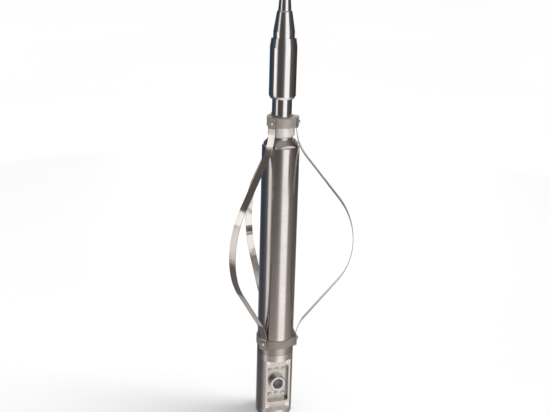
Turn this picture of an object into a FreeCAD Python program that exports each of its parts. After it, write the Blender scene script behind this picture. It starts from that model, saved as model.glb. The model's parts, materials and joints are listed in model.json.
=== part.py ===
import FreeCAD, Part
import Sketcher
import math
import os
import re

# Borehole camera probe with three bow-spring centralisers. Millimetres, +Z up.
# The origin is the centre of the flat nose face. Every height below is counted up from there.

V = FreeCAD.Vector
Z_AXIS = V(0, 0, 1)

SIZES = {
    # camera head, below the joint that lets it turn
    "head_turn": (18.0, "degrees that the camera head is turned from facing -Y"),
    "head_step": (0.2, "camera head over the main tube, in radius"),
    "head_wall": (4.7, "wall of the camera head"),
    "head_over_flat": (9.8, "top of the flat to the top of the head"),
    "head_gap": (0.4, "running gap between the head and the fixed band"),
    "flat_low": (8.8, "lower end of the milled flat"),
    "flat_cut": (7.3, "how deep the flat is cut into the head"),
    "plate_thickness": (9.0, "lens plate thickness"),
    "gasket_thickness": (0.5, "gasket under the lens plate"),
    "seat_wall": (4.0, "wall behind the gasket"),
    "cap_thickness": (6.0, "nose cap thickness"),
    "cap_lip": (1.5, "nose cap over the cavity, in radius"),
    "deck_thickness": (8.0, "top deck of the camera head"),
    "recess_edge": (2.6, "recess in the lens plate to the edge of the flat"),
    "recess_end_low": (10.8, "lower end of the flat to the recess"),
    "recess_end_high": (9.2, "recess to the upper end of the flat"),
    "recess_margin": (6.5, "lamps to the end of the recess"),
    "recess_depth": (6.5, "recess depth"),
    "recess_corner_r": (3.0, "corner radius of the recess"),
    "port_r": (11.25, "outside radius of the port ring"),
    "port_rim": (7.6, "how far the port ring stands over the recess floor"),
    "lens_r": (6.5, "radius of the port glass"),
    "glass_thickness": (3.0, "thickness of the port glass"),
    "glass_inset": (1.3, "port glass behind the face of its ring"),
    "barrel_bore_r": (4.6, "bore of the lens barrel"),
    "camera_depth": (15.0, "camera board behind the face of the port ring"),
    "led_r": (2.5, "radius of one lamp"),
    "led_pitch": (9.7, "lamp to lamp in a row"),
    "led_gap": (5.25, "port ring to a row of lamps"),
    "led_stand": (0.2, "straight part of a lamp over the recess floor"),
    "board_thickness": (1.6, "thickness of the circuit boards"),
    "screw_edge": (3.35, "plate screw to the edge of the flat"),
    "plate_screw_end": (4.2, "plate screw to the end of the flat"),
    "countersink": (1.6, "depth and width of the plate screws' countersinks"),
    # fixed band, bearings and drive
    "band_height": (10.0, "visible fixed band below the lower ring"),
    "spigot_length": (28.0, "bulkhead inside the main tube"),
    "shaft_r": (7.5, "hollow head shaft, outside"),
    "shaft_bore_r": (4.0, "hollow head shaft, inside"),
    "flange_step": (1.2, "flange of the shaft over the shaft, in radius"),
    "flange_thickness": (3.0, "thickness of that flange"),
    "bearing_section": (4.5, "ball bearing, inside to outside radius"),
    "bearing_width": (5.0, "ball bearing width"),
    "bearing_spread": (20.0, "distance between the two bearings' lower faces"),
    "ball_r": (1.2, "bearing ball"),
    "gear_width": (5.0, "face width of the drive gears"),
    "gear_module": (0.5, "tooth module of the drive gears"),
    "motor_r": (6.0, "gearmotor body"),
    "motor_length": (48.0, "gearmotor body length"),
    "motor_plate_thickness": (4.0, "plate that carries the gearmotor"),
    "motor_plate_rise": (14.0, "top of the bulkhead to the motor plate"),
    # main tube and the plug on top of it
    "tube_r": (25.0, "main tube, outside radius"),
    "tube_wall": (3.0, "main tube wall"),
    "tube_length": (286.0, "main tube"),
    "slip": (0.05, "radial clearance of a spigot in the main tube"),
    "plug_spigot": (30.0, "top plug inside the main tube"),
    "hex_across": (45.0, "spanner flats on the top plug"),
    "plug_height": (9.0, "coned shoulder of the top plug"),
    "plug_step": (0.4, "top plug inside the main tube's edge, in radius"),
    "plug_rim": (0.8, "straight rim of the top plug"),
    "plug_top_wall": (3.9, "top of the plug's cone over the neck, in radius"),
    "stop_wall": (2.4, "collar that the slider rests on, over the neck"),
    "stop_height": (2.7, "height of that collar"),
    # neck and the sliding upper ring
    "neck_r": (13.1, "polished neck, outside radius"),
    "neck_bore_r": (9.0, "polished neck, bore"),
    "neck_engage": (22.0, "neck screwed into the top plug"),
    "neck_thread_step": (2.3, "threaded head over the neck, in radius"),
    "socket_wall": (2.05, "wall of the neck round the termination's spigot"),
    "neck_thread_length": (26.0, "length of that thread"),
    "neck_thread_rise": (16.0, "sleeve's lower end to the thread"),
    "slider_fit": (0.06, "running fit of the slider on the neck"),
    "slider_wall": (4.5, "wall of the slider bushing"),
    "slider_chamfer": (1.8, "chamfer at the foot of the slider bushing"),
    "hub_wall": (3.1, "wall of the bushing inside the upper ring"),
    "slider_length": (13.8, "slider bushing below the upper ring"),
    "upper_ring_step": (1.7, "upper ring over the slider bushing, in radius"),
    "upper_ring_height": (12.5, "upper ring"),
    "lower_ring_wall": (1.5, "wall of the lower ring"),
    "lower_ring_height": (11.5, "lower ring"),
    "slide_travel": (20.0, "travel of the slider as the bows flatten"),
    "sleeve_clearance": (4.4, "slider at full travel to the coupling sleeve"),
    # bow springs
    "bow_azimuth": (-4.7, "direction of the first bow, from +X"),
    "bow_width": (10.0, "bow strip width"),
    "bow_thickness": (0.8, "bow strip thickness"),
    "bow_reach": (101.2, "crown of the bow to the probe's axis"),
    "bow_crown_share": (0.484, "place of the crown between the two bends"),
    "bow_crown_curve": (0.3175, "radius of the crown as a share of the bow's span"),
    "bow_top_curve": (0.2125, "largest radius of the upper reverse bend as a share of the span"),
    "bow_over_tube": (0.1, "gap where a bow passes the upper edge of the main tube"),
    "bow_low_curve": (0.16, "radius of the lower reverse bend as a share of the span"),
    "lug_width": (12.5, "ring lugs, across"),
    "lug_drop": (1.2, "upper ring's lugs below the ring"),
    "upper_lug_rise": (0.7, "seat of a bow over the upper ring"),
    "lower_lug_rise": (2.8, "seat of a bow over the main tube"),
    "lower_lug_drop": (2.0, "lower ring's lugs below the ring"),
    "rib_width": (5.0, "rib behind a bow's foot"),
    "rib_length": (26.0, "that rib, from the foot of the lower ring"),
    "rib_slope": (14.0, "sloped end of the rib"),
    "clamp_width": (11.0, "clamp block over a bow's end"),
    "clamp_thickness": (1.6, "thickness of a clamp block"),
    "clamp_over": (0.8, "upper clamp block above its ring"),
    "clamp_under": (1.0, "clamp blocks past the bend side of their rings"),
    "lower_clamp_drop": (1.8, "lower clamp block below its ring"),
    "upper_screw_drop": (6.5, "upper clamp screw below the top of its ring"),
    "lower_screw_rise": (7.5, "lower clamp screw above the foot of its ring"),
    "bite_gap": (0.4, "tip of a clamp screw to the bottom of its hole"),
    "screw_head_r": (2.75, "clamp screw head"),
    "screw_head_height": (1.9, "clamp screw head height"),
    "screw_shank_r": (1.5, "clamp screw shank"),
    # coupling sleeve and cable termination
    "sleeve_wall": (2.25, "wall of the coupling sleeve"),
    "thread_clearance": (0.1, "sleeve's bore over the neck's thread, in radius"),
    "sleeve_length": (77.9, "coupling sleeve"),
    "sleeve_lip": (6.5, "inward lip at the top of the sleeve"),
    "barrel_step": (1.56, "termination inside the sleeve's bore, in radius"),
    "barrel_show": (7.6, "termination barrel above the sleeve"),
    "cone_length": (26.0, "termination cone"),
    "cone_top_r": (9.9, "small end of the termination cone"),
    "nose_base_r": (8.5, "cable nose at its base"),
    "nose_tip_r": (4.9, "cable nose at its tip"),
    "nose_length": (46.0, "cable nose"),
    "cable_bore_r": (3.25, "bore for the cable"),
    "o_ring_section_r": (0.88, "section radius of the tube's O-rings"),
    "o_ring_groove": (2.6, "width of their grooves"),
    "o_ring_depth": (1.8, "depth of their grooves"),
    "o_ring_first": (10.0, "first O-ring from the end of the main tube"),
    "o_ring_pitch": (8.0, "first O-ring to the second"),
}

# Heights and radii that follow from the sizes, as formulas in their names.
DERIVED = {
    # radii
    "head_r": "tube_r + head_step",
    "cavity_r": "head_r - head_wall",
    "tube_bore_r": "tube_r - tube_wall",
    "spigot_r": "tube_bore_r - slip",
    "bearing_r": "shaft_r + bearing_section",
    "ball_circle_r": "shaft_r + bearing_section / 2",
    "stop_r": "neck_r + stop_wall",
    "slider_r": "neck_r + slider_wall",
    "hub_r": "neck_r + hub_wall",
    "upper_ring_r": "slider_r + upper_ring_step",
    "upper_lug_r": "upper_ring_r + upper_lug_rise",
    "lower_ring_r": "tube_r + lower_ring_wall",
    "lower_lug_r": "tube_r + lower_lug_rise",
    "neck_thread_r": "neck_r + neck_thread_step",
    "neck_socket_r": "neck_r - socket_wall",
    "sleeve_bore_r": "neck_thread_r + thread_clearance",
    "sleeve_r": "sleeve_bore_r + sleeve_wall",
    "barrel_r": "sleeve_bore_r - barrel_step",
    # heights
    "led_rise": "port_r + led_gap + led_r",
    "recess_low": "flat_low + recess_end_low",
    "port_z": "recess_low + recess_margin + led_r + led_rise",
    "recess_high": "port_z + led_rise + led_r + recess_margin",
    "flat_high": "recess_high + recess_end_high",
    "head_length": "flat_high + head_over_flat",
    "deck_low": "head_length - deck_thickness",
    "band_low": "head_length + head_gap",
    "tube_low": "band_low + band_height",
    "tube_high": "tube_low + tube_length",
    "spigot_top": "tube_low + spigot_length",
    "stop_top": "tube_high + plug_height + stop_height",
    "upper_ring_low": "stop_top + slider_length",
    "upper_ring_top": "upper_ring_low + upper_ring_height",
    "upper_screw_z": "upper_ring_top - upper_screw_drop",
    "lower_screw_z": "tube_low + lower_screw_rise",
    "upper_bend_z": "upper_ring_low - clamp_under",
    "lower_bend_z": "tube_low + lower_ring_height - clamp_under",
    "sleeve_low": "upper_ring_top + slide_travel + sleeve_clearance",
    "sleeve_high": "sleeve_low + sleeve_length",
    "lip_low": "sleeve_high - sleeve_lip",
    "neck_top": "sleeve_low + neck_thread_rise + neck_thread_length",
    "cone_low": "sleeve_high + barrel_show",
    "cone_high": "cone_low + cone_length",
    "bearing_low": "band_low + bearing_width",
    "bearing_high": "bearing_low + bearing_spread",
    "nut_low": "bearing_high + bearing_width",
    "gear_low": "spigot_top + 3.5",
    "motor_low": "spigot_top + motor_plate_rise",
    "motor_top": "motor_low + motor_plate_thickness",
    # depths and half widths of the camera head, from the probe's axis
    "flat_depth": "head_r - flat_cut",
    "flat_half": "sqrt(head_r * head_r - flat_depth * flat_depth)",
    "plate_back": "flat_depth - plate_thickness",
    "seat_depth": "plate_back - gasket_thickness",
    "recess_floor": "flat_depth - recess_depth",
    "recess_width": "2 * (flat_half - recess_edge)",
    "plate_screw_x": "flat_half - screw_edge",
    "port_face": "recess_floor + port_rim",
    "camera_back": "port_face - camera_depth",
}
GEAR_TEETH = 48
PINION_TEETH = 12
BOW_NAMES = ("right", "rear", "left")

doc = FreeCAD.newDocument("borehole_probe")
sheet = doc.addObject("Spreadsheet::Sheet", "Sizes")
for row, (alias, (value, meaning)) in enumerate(SIZES.items(), start=1):
    sheet.set(f"A{row}", meaning)
    sheet.set(f"B{row}", str(value))
    sheet.setAlias(f"B{row}", alias)
doc.recompute()
WORD = re.compile(r"[a-z][a-z_]*")
SUBPARTS = []


def formula(text):
    """Turn a formula in plain names into one that reads the sheet."""
    def name(match):
        word = match.group(0)
        if word in SIZES:
            return "Sizes." + word
        if word in DERIVED:
            return "(" + formula(DERIVED[word]) + ")"
        return word
    return WORD.sub(name, str(text))


gauge = doc.addObject("App::FeaturePython", "Gauge")
gauge.addProperty("App::PropertyFloat", "Reading")


def number(text):
    """The value of a formula, for shapes that are worked out point by point."""
    gauge.setExpression("Reading", formula(text))
    gauge.recompute()
    return gauge.Reading


def bind(item, **formulas):
    for prop, text in formulas.items():
        item.setExpression(prop, formula(text))


def stand(item, height, x="0", y="0"):
    """Place a piece by formulas."""
    item.setExpression("Placement.Base.x", formula(x))
    item.setExpression("Placement.Base.y", formula(y))
    item.setExpression("Placement.Base.z", formula(height))
    return item


def stand_off(item, radius, height, azimuth, across="0"):
    """Point a piece's own Z axis away from the probe's axis, at a radius and an azimuth."""
    turn = FreeCAD.Rotation(Z_AXIS, number(azimuth)) * FreeCAD.Rotation(V(0, 1, 0), 90)
    item.Placement = FreeCAD.Placement(V(), turn)
    stand(item, height, f"({radius}) * cos({azimuth}) - ({across}) * sin({azimuth})",
          f"({radius}) * sin({azimuth}) + ({across}) * cos({azimuth})")
    return item


def name_part(item, node):
    item.Label = node
    SUBPARTS.append(item)
    return item


def turned(name, outline, height="0"):
    """A body turned about Z from an outline of (radius, height) formulas."""
    body = doc.addObject("PartDesign::Body", name)
    sketch = body.newObject("Sketcher::SketchObject", name + "_outline")
    plane = [f for f in body.Origin.OriginFeatures if f.Role == "XZ_Plane"][0]
    sketch.AttachmentSupport = [(plane, "")]
    sketch.MapMode = "FlatFace"
    corners = [V(number(r), number(z), 0) for r, z in outline]
    count = len(corners)
    for here in range(count):
        sketch.addGeometry(Part.LineSegment(corners[here], corners[(here + 1) % count]))
    for here in range(count):
        sketch.addConstraint(Sketcher.Constraint("Coincident", here, 2, (here + 1) % count, 1))
    for here, (r, z) in enumerate(outline):
        for kind, text in (("DistanceX", r), ("DistanceY", z)):
            value = number(text)
            index = sketch.addConstraint(Sketcher.Constraint(kind, -1, 1, here, 1, value))
            if formula(text) != text:
                sketch.setExpression(f"Constraints[{index}]", formula(text))
    spin = body.newObject("PartDesign::Revolution", name + "_turning")
    spin.Profile = sketch
    spin.ReferenceAxis = (sketch, ["V_Axis"])
    spin.Angle = 360
    body.Tip = spin
    stand(body, height)
    return body


def rod(radius, length, height="0"):
    item = doc.addObject("Part::Cylinder", "Rod")
    bind(item, Radius=radius, Height=length)
    return stand(item, height)


def block(x_size, y_size, z_size, x, y, z):
    """A box whose lowest corner is at x, y, z."""
    item = doc.addObject("Part::Box", "Block")
    bind(item, Length=x_size, Width=y_size, Height=z_size)
    return stand(item, z, x, y)


def ring_seal(circle_r, section_r, height):
    item = doc.addObject("Part::Torus", "Seal")
    bind(item, Radius1=circle_r, Radius2=section_r)
    return stand(item, height)


def cut(base, *tools):
    item = doc.addObject("Part::Cut", "Cut")
    item.Base = base
    item.Tool = tools[0] if len(tools) == 1 else group(tools)
    return item


def join(*pieces):
    item = doc.addObject("Part::MultiFuse", "Join")
    item.Shapes = list(pieces)
    return item


def common(*pieces):
    item = doc.addObject("Part::MultiCommon", "Common")
    item.Shapes = list(pieces)
    return item


def group(pieces):
    item = doc.addObject("Part::Compound", "Group")
    item.Links = list(pieces)
    return item


def shaped(name, shape):
    item = doc.addObject("Part::Feature", name)
    item.Shape = shape
    return item


def face_head(item):
    """Turn a piece that was made facing -Y to the camera head's own direction."""
    faced = group([item])
    faced.Placement = FreeCAD.Placement(V(), FreeCAD.Rotation(Z_AXIS, number("head_turn")))
    return faced


def bow_azimuth(index):
    return f"bow_azimuth + {120 * index}"


# ---------------------------------------------------------------- cable termination and sleeve


def make_termination():
    nose = turned("CableNose", [
        ("cable_bore_r", "-8"), ("nose_base_r - 2.5", "-8"), ("nose_base_r - 2.5", "0"),
        ("nose_base_r", "0"), ("nose_tip_r + 0.3", "nose_length - 3"),
        ("nose_tip_r - 0.6", "nose_length"), ("cable_bore_r", "nose_length")], "cone_high")
    name_part(nose, "cable_nose")
    spigot_low = "neck_top - 17"
    cone = turned("TerminationCone", [
        ("7.2", spigot_low), ("neck_socket_r - slip", spigot_low), ("neck_socket_r - slip", "neck_top"),
        ("neck_r - 0.5", "neck_top"), ("neck_r - 0.5", "lip_low - 9.6"),
        ("sleeve_bore_r - 0.3", "lip_low - 9.6"), ("sleeve_bore_r - 0.3", "lip_low - 0.3"),
        ("barrel_r", "lip_low - 0.3"), ("barrel_r", "cone_low"),
        ("cone_top_r", "cone_high - 1.2"), ("cone_top_r - 1.2", "cone_high"),
        ("nose_base_r - 2.5", "cone_high"), ("nose_base_r - 2.5", "cone_high - 8"),
        ("cable_bore_r", "cone_high - 8"), ("cable_bore_r", "cone_low + 8"),
        ("8", "cone_low - 14"), ("8", "cone_low - 34"), ("7.2", "cone_low - 34")])
    seal_r = "neck_socket_r - 0.95"
    seals = [ring_seal(seal_r, "0.89", f"neck_top - {below}") for below in (8, 13)]
    name_part(group(seals), "termination_o_rings")
    grooves = [cut(rod("neck_socket_r + 0.55", "1.9", f"neck_top - {below} - 0.95"),
                   rod("neck_socket_r - 1.85", "3", f"neck_top - {below} - 1.45")) for below in (8, 13)]
    name_part(cut(cone, *grooves), "termination_cone")
    clamp = turned("ClampCone", [
        ("cable_bore_r - 1.2", "-12"), ("7.5", "-12"),
        ("cable_bore_r + 0.3", "6.2"), ("cable_bore_r - 1.2", "6.2")], "cone_low")
    name_part(clamp, "cable_clamp_cone")


def make_connector():
    """Seven contacts in two insulators, where the termination plugs into the neck."""
    pins = []
    for index in range(7):
        angle = 60 * index
        radius = 0 if index == 6 else 4
        pins.append(stand(rod("0.75", "22"), "neck_top - 30",
                          f"{radius} * cos({angle})", f"{radius} * sin({angle})"))
    contacts = name_part(group(pins), "contact_pins")
    plug = cut(rod("7.2", "14", "neck_top - 17"), contacts)
    name_part(plug, "plug_insulator")
    socket = cut(rod("neck_bore_r", "16", "neck_top - 34"), contacts)
    name_part(socket, "socket_insulator")


def make_sleeve():
    sleeve = turned("Sleeve", [
        ("sleeve_bore_r", "0"), ("sleeve_r - 1.6", "0"), ("sleeve_r", "3.2"),
        ("sleeve_r", "sleeve_length - 12"), ("sleeve_r - 1.8", "sleeve_length"),
        ("barrel_r + slider_fit", "sleeve_length"),
        ("barrel_r + slider_fit", "sleeve_length - sleeve_lip"),
        ("sleeve_bore_r", "sleeve_length - sleeve_lip")], "sleeve_low")
    name_part(sleeve, "coupling_sleeve")
    wiper = turned("Wiper", [
        ("neck_r", "0"), ("neck_r + 1.4", "0"), ("sleeve_bore_r - 0.1", "1"),
        ("sleeve_bore_r - 0.1", "6"), ("neck_r", "6")], "sleeve_low")
    name_part(wiper, "thread_wiper")


def make_neck():
    neck = turned("Neck", [
        ("neck_bore_r", "stop_top - neck_engage"), ("neck_r", "stop_top - neck_engage"),
        ("neck_r", "sleeve_low + neck_thread_rise"),
        ("neck_thread_r", "sleeve_low + neck_thread_rise + 1"),
        ("neck_thread_r", "neck_top - 1"), ("neck_r + 1.3", "neck_top"), ("neck_socket_r", "neck_top"),
        ("neck_socket_r", "neck_top - 17.5"), ("neck_bore_r", "neck_top - 17.5")])
    name_part(neck, "neck_tube")


# ---------------------------------------------------------------- slider and bows


def make_slider():
    counterbore = "upper_ring_height - 1.2"
    bushing = turned("Slider", [
        ("neck_r + slider_fit", "0"), ("slider_r - slider_chamfer", "0"), ("slider_r", "slider_chamfer"),
        ("slider_r", "slider_length"), ("hub_r", "slider_length"),
        ("hub_r", f"slider_length + {counterbore}"),
        ("neck_r + slider_fit", f"slider_length + {counterbore}")], "stop_top")
    name_part(bushing, "slider_bushing")
    ring = turned("UpperRing", [
        ("hub_r", "0"), ("upper_ring_r", "0"), ("upper_ring_r", "upper_ring_height - 0.7"),
        ("upper_ring_r - 0.7", "upper_ring_height"), ("neck_r + 1.6", "upper_ring_height"),
        ("neck_r + 1.0", counterbore), ("hub_r", counterbore)], "upper_ring_low")
    lugs = [lug("upper_ring_r - 2", "upper_lug_r", "upper_ring_low - lug_drop",
                "upper_ring_height + lug_drop + clamp_over", bow_azimuth(index)) for index in range(3)]
    hub = cut(join(ring, *lugs), rod("slider_r", "6", "upper_ring_low - 6"),
              *screw_holes("upper_lug_r", "upper_screw_z", "upper_lug_r - hub_r"))
    name_part(hub, "upper_ring")


def lug(inner, outer, low, height, azimuth, width="lug_width"):
    """A radial block that stands out of a ring."""
    item = block(width, height, f"({outer}) - ({inner})", "0", "0", "0")
    item.Placement = FreeCAD.Placement(V(), FreeCAD.Rotation(Z_AXIS, number(azimuth))
                                       * FreeCAD.Rotation(V(1, 1, 1), 120))
    half = f"({width}) / 2"
    stand(item, low, f"({inner}) * cos({azimuth}) + ({half}) * sin({azimuth})",
          f"({inner}) * sin({azimuth}) - ({half}) * cos({azimuth})")
    return item


def screw_holes(seat_r, height, depth):
    """Tapped holes for the clamp screws, one under each bow's end."""
    holes = []
    for index in range(3):
        hole = rod("screw_shank_r + slider_fit", f"({depth}) + 1")
        holes.append(stand_off(hole, f"({seat_r}) - ({depth})", height, bow_azimuth(index)))
    return holes


def make_lower_ring():
    ring = turned("LowerRing", [
        ("tube_r", "0"), ("lower_ring_r - 0.3", "0"), ("lower_ring_r", "0.3"),
        ("lower_ring_r", "lower_ring_height - 0.5"), ("lower_ring_r - 0.5", "lower_ring_height"),
        ("tube_r", "lower_ring_height")], "tube_low")
    azimuths = [bow_azimuth(index) for index in range(3)]
    lugs = [lug("tube_r - 1", "lower_lug_r", "tube_low - lower_lug_drop",
                "lower_ring_height + lower_lug_drop", azimuth) for azimuth in azimuths]
    ribs = [lug("tube_r - 1", "lower_lug_r", "tube_low", "rib_length", azimuth, "rib_width")
            for azimuth in azimuths]
    sloped = turned("RibEnvelope", [
        ("tube_r - 2", "0"), ("lower_lug_r + 1", "0"), ("lower_lug_r + 1", "rib_length - rib_slope"),
        ("tube_r - 2", "rib_length")], "tube_low")
    tools = [rod("tube_r", "rib_length + 2", "tube_low"), rod("head_r", "6", "tube_low - 6")]
    tools += screw_holes("lower_lug_r", "lower_screw_z", "lower_lug_r - tube_r - bite_gap / 2")
    name_part(cut(join(ring, *lugs, common(join(*ribs), sloped)), *tools), "lower_ring")


def clamp_set(place, seat_r, bite, screw_z, low, high):
    """Clamp blocks and screws that hold the ends of the bows; gives them per bow."""
    plates = []
    screws = []
    face = "bow_thickness + clamp_thickness"
    shank = f"({bite}) + {face}"
    for index in range(3):
        azimuth = bow_azimuth(index)
        plate = lug(f"({seat_r}) + bow_thickness", f"({seat_r}) + {face}", low, f"({high}) - ({low})",
                    azimuth, "clamp_width")
        bore = stand_off(rod("screw_shank_r", "6"), f"({seat_r}) - 1", screw_z, azimuth)
        plates.append(cut(plate, bore))
        screw = turned(f"{place}Screw{index}", [
            ("0", "0"), ("screw_shank_r", "0"), ("screw_shank_r", shank), ("screw_head_r", shank),
            ("screw_head_r", f"{shank} + screw_head_height - 0.5"),
            ("screw_head_r - 0.5", f"{shank} + screw_head_height"),
            ("0", f"{shank} + screw_head_height")])
        stand_off(screw, f"({seat_r}) - ({bite})", screw_z, azimuth)
        socket = doc.addObject("Part::Prism", "Socket")
        socket.Polygon = 6
        bind(socket, Circumradius="1.44", Height="2")
        stand_off(socket, f"({seat_r}) + {face} + screw_head_height - 1.1", screw_z, azimuth)
        screws.append(cut(screw, socket))
    return plates, screws


def make_clamps():
    plates, screws = clamp_set("Upper", "upper_lug_r", "upper_lug_r - hub_r - bite_gap", "upper_screw_z",
                               "upper_bend_z", "upper_ring_top + clamp_over")
    for side, plate, screw in zip(BOW_NAMES, plates, screws):
        name_part(group([plate, screw]), f"upper_clamp_{side}")
    plates, screws = clamp_set("Lower", "lower_lug_r", "lower_lug_r - tube_r - bite_gap", "lower_screw_z",
                               "tube_low - lower_clamp_drop", "lower_bend_z")
    name_part(group(plates), "lower_clamp_plates")
    name_part(group(screws), "lower_clamp_screws")


def tangent_angle(foot, foot_r, crown, crown_r, side):
    """Direction of the normal of the straight run between a reverse bend and the crown."""
    dx = crown[0] - foot[0]
    dz = crown[1] - foot[1]
    return math.atan2(dz, dx) + side * math.acos(-(foot_r + crown_r) / math.hypot(dx, dz))


def around(centre, radius, angle):
    return V(centre[0] + radius * math.cos(angle), 0, centre[1] + radius * math.sin(angle))


def bow_profile():
    """Side view of one bow along +X: end tabs, two reverse bends, straight runs and the crown."""
    thick = number("bow_thickness")
    top_z = number("upper_bend_z")
    low_z = number("lower_bend_z")
    span = top_z - low_z
    low_bend_r = span * number("bow_low_curve")
    crown_r = span * number("bow_crown_curve")
    top_r = number("upper_lug_r") + thick / 2
    low_r = number("lower_lug_r") + thick / 2
    drop = top_z - number("tube_high")
    step = max(number("tube_r") + thick / 2 + number("bow_over_tube") - top_r, number("bow_over_tube"))
    top_bend_r = min(span * number("bow_top_curve"), (drop ** 2 + step ** 2) / (2 * step))
    top = (top_r + top_bend_r, top_z)
    low = (low_r + low_bend_r, low_z)
    crown = (number("bow_reach") - crown_r, low_z + span * number("bow_crown_share"))
    upper = tangent_angle(top, top_bend_r, crown, crown_r, 1)
    lower = tangent_angle(low, low_bend_r, crown, crown_r, -1)

    def side(shift):
        arcs = ((top, top_bend_r - shift, math.pi, math.pi + upper),
                (crown, crown_r + shift, upper, lower),
                (low, low_bend_r - shift, math.pi + lower, math.pi))
        edges = [Part.Arc(*(around(centre, radius, angle) for angle in (start, (start + end) / 2, end)))
                 for centre, radius, start, end in arcs]
        ends = [(around(centre, radius, start), around(centre, radius, end))
                for centre, radius, start, end in arcs]
        tab_top = V(top_r + shift, 0, number("upper_ring_top"))
        tab_low = V(low_r + shift, 0, number("tube_low - 0.6"))
        lines = [Part.LineSegment(tab_top, ends[0][0]), Part.LineSegment(ends[0][1], ends[1][0]),
                 Part.LineSegment(ends[1][1], ends[2][0]), Part.LineSegment(ends[2][1], tab_low)]
        shapes = [lines[0], edges[0], lines[1], edges[1], lines[2], edges[2], lines[3]]
        return [s.toShape() for s in shapes], tab_top, tab_low

    outer, outer_top, outer_low = side(thick / 2)
    inner, inner_top, inner_low = side(-thick / 2)
    caps = [Part.LineSegment(outer_top, inner_top).toShape(),
            Part.LineSegment(outer_low, inner_low).toShape()]
    return Part.Face(Part.Wire(Part.__sortEdges__(outer + inner + caps)))


def make_bows():
    width = number("bow_width")
    strip = bow_profile().extrude(V(0, width, 0))
    strip.translate(V(0, -width / 2, 0))
    hole_r = number("screw_shank_r") + 0.1
    for height, seat in (("upper_screw_z", "upper_lug_r"), ("lower_screw_z", "lower_lug_r")):
        hole = Part.makeCylinder(hole_r, 4, V(number(seat) - 1.5, 0, number(height)), V(1, 0, 0))
        strip = strip.cut(hole)
    for index, side in enumerate(BOW_NAMES):
        bow = shaped("Bow" + side, strip)
        bow.Placement = FreeCAD.Placement(V(), FreeCAD.Rotation(Z_AXIS, number(bow_azimuth(index))))
        name_part(bow, f"bow_spring_{side}")


# ---------------------------------------------------------------- main tube, plug and electronics


def make_tube():
    tube = turned("MainTube", [
        ("tube_bore_r", "0"), ("tube_r", "0"), ("tube_r", "tube_length - 0.8"),
        ("tube_r - 0.8", "tube_length"), ("tube_bore_r", "tube_length")], "tube_low")
    name_part(tube, "main_tube")


def make_plug():
    body = turned("PlugTurning", [
        ("neck_bore_r", "-plug_spigot"), ("spigot_r", "-plug_spigot"), ("spigot_r", "0"),
        ("tube_r - plug_step", "0"), ("tube_r - plug_step", "plug_rim"),
        ("neck_r + plug_top_wall", "plug_height"), ("stop_r", "plug_height"),
        ("stop_r", "plug_height + stop_height"), ("neck_r", "plug_height + stop_height"),
        ("neck_r", "plug_height + stop_height - neck_engage"),
        ("neck_bore_r", "plug_height + stop_height - neck_engage")], "tube_high")
    hexagon = doc.addObject("Part::Prism", "SpannerFlats")
    hexagon.Polygon = 6
    bind(hexagon, Circumradius="hex_across / sqrt(3)", Height="plug_height + stop_height + 1")
    hexagon.Placement = FreeCAD.Placement(V(), FreeCAD.Rotation(Z_AXIS, 26))
    stand(hexagon, "tube_high")
    below = rod("tube_r + 1", "plug_spigot + 1", "tube_high - plug_spigot - 1")
    shaped_plug = common(body, join(hexagon, below))
    depths = ("o_ring_first", "o_ring_first + o_ring_pitch")
    grooves = [spigot_groove(f"tube_high - ({depth})") for depth in depths]
    name_part(cut(shaped_plug, *grooves), "top_plug")
    name_part(group([spigot_seal(f"tube_high - ({depth})") for depth in depths]), "top_plug_o_rings")


def spigot_groove(middle):
    """O-ring groove round a spigot in the main tube."""
    return cut(rod("spigot_r + 1", "o_ring_groove", f"{middle} - o_ring_groove / 2"),
               rod("spigot_r - o_ring_depth", "o_ring_groove + 2", f"{middle} - o_ring_groove / 2 - 1"))


def spigot_seal(middle):
    """O-ring that lies in such a groove, pressed against the tube's bore."""
    return ring_seal("spigot_r + slip - o_ring_section_r - 0.02", "o_ring_section_r", middle)


def make_chassis():
    low = "motor_top + motor_length + 12"
    high = "tube_high - plug_spigot - 9"
    notch = [block("12", "14", "8", "-6", "12", f"{height} - 2") for height in (low, high)]
    discs = [cut(rod("spigot_r", "3", height), gap) for height, gap in zip((low, high), notch)]
    name_part(discs[0], "chassis_lower_disc")
    name_part(discs[1], "chassis_upper_disc")
    posts = [stand(rod("3", "6"), f"{high} + 3", f"{side} * 15") for side in (-1, 1)]
    name_part(group(posts), "chassis_posts")
    span = f"({high}) - ({low}) - 3"
    foot = f"({low}) + 3"
    rail = cut(block("32", "6", span, "-16", "-3", foot), block("28", "6", span, "-14", "-1", foot))
    name_part(rail, "chassis_rail")
    name_part(block("26", "1.6", f"{span} - 10", "-13", "-0.9", f"{foot} + 5"), "main_board")
    board = f"({span} - 10)"
    chips = [block(wide, "2.2", tall, f"-({wide}) / 2 + ({side})", "0.7", f"{foot} + 5 + {share} * {board}")
             for wide, tall, side, share in ((14, 14, 0, 0.12), (10, 18, -4, 0.31), (8, 8, 5, 0.35),
                                             (18, 9, 0, 0.55), (6, 20, 7, 0.70), (9, 9, -6, 0.73))]
    name_part(group(chips), "board_chips")


# ---------------------------------------------------------------- bulkhead, bearings and drive


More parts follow.
